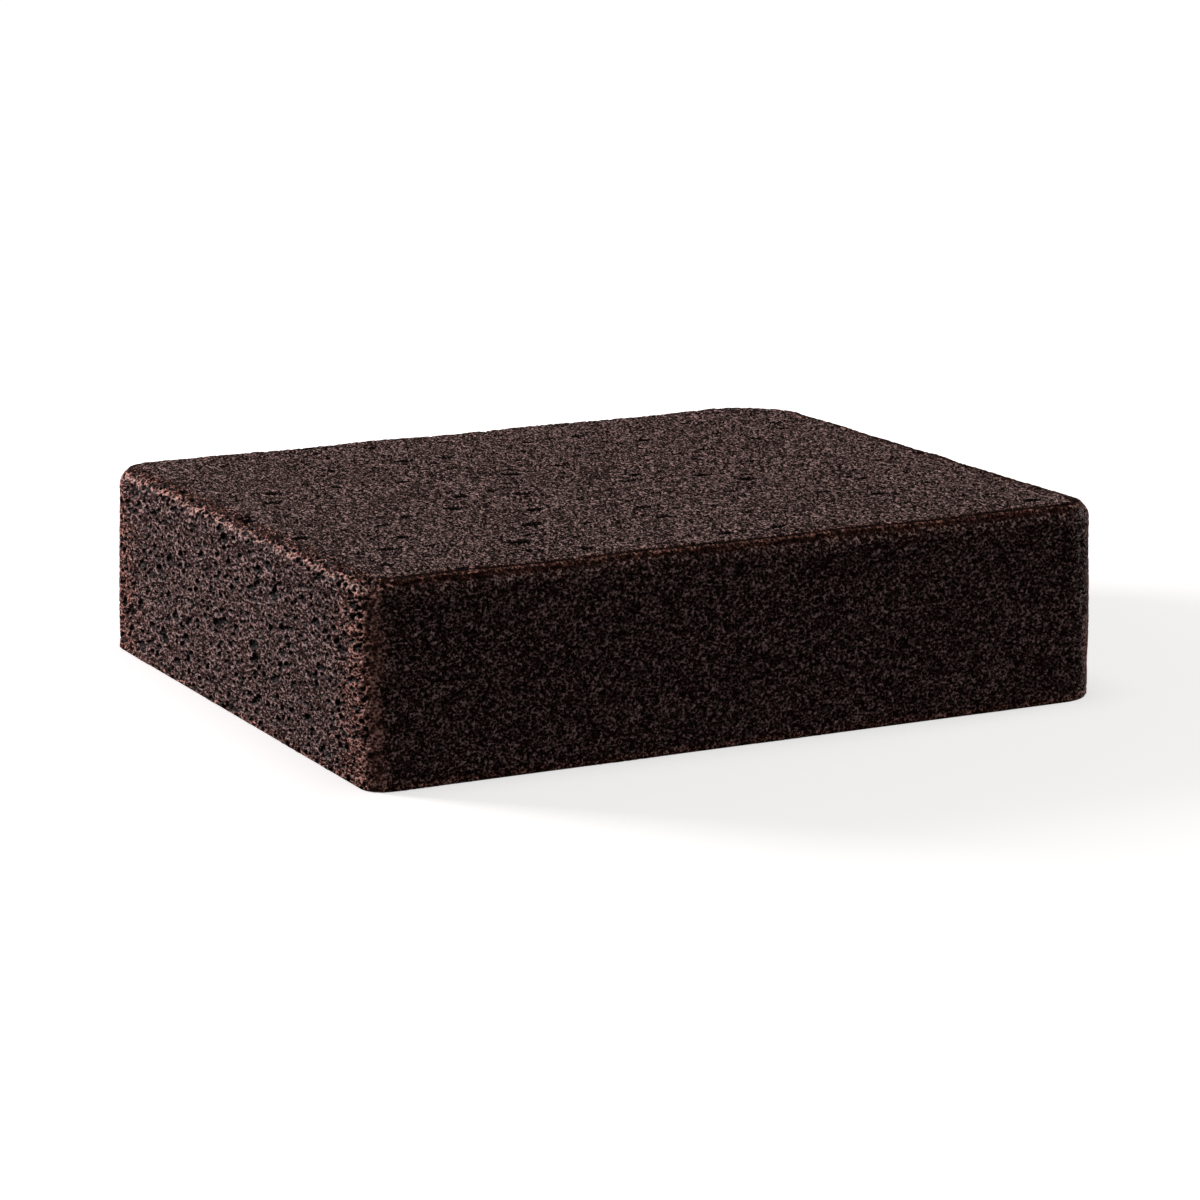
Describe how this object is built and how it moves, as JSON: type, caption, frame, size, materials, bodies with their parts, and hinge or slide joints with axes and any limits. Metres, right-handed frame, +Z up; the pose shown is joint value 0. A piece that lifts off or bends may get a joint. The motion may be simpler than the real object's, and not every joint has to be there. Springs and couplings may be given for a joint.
{
  "type": "mud cake",
  "caption": "Uncut rectangular slab of dense dark chocolate mud cake, bare of icing, with upright sides, rounded top edges and an open fine crumb",
  "frame": {"origin": "middle of the flat underside", "axes": "X along the long front face, Y from front to back, Z up"},
  "size_m": [0.25, 0.22, 0.0625],
  "materials": {
    "crumb": "dense dark brown chocolate crumb with fine open pores, slightly moist, and a redder, knobbly baked edge along the rim, the upright edges and the foot"
  },
  "bodies": {
    "root": {"cake": "crumb"}
  },
  "joints": []
}
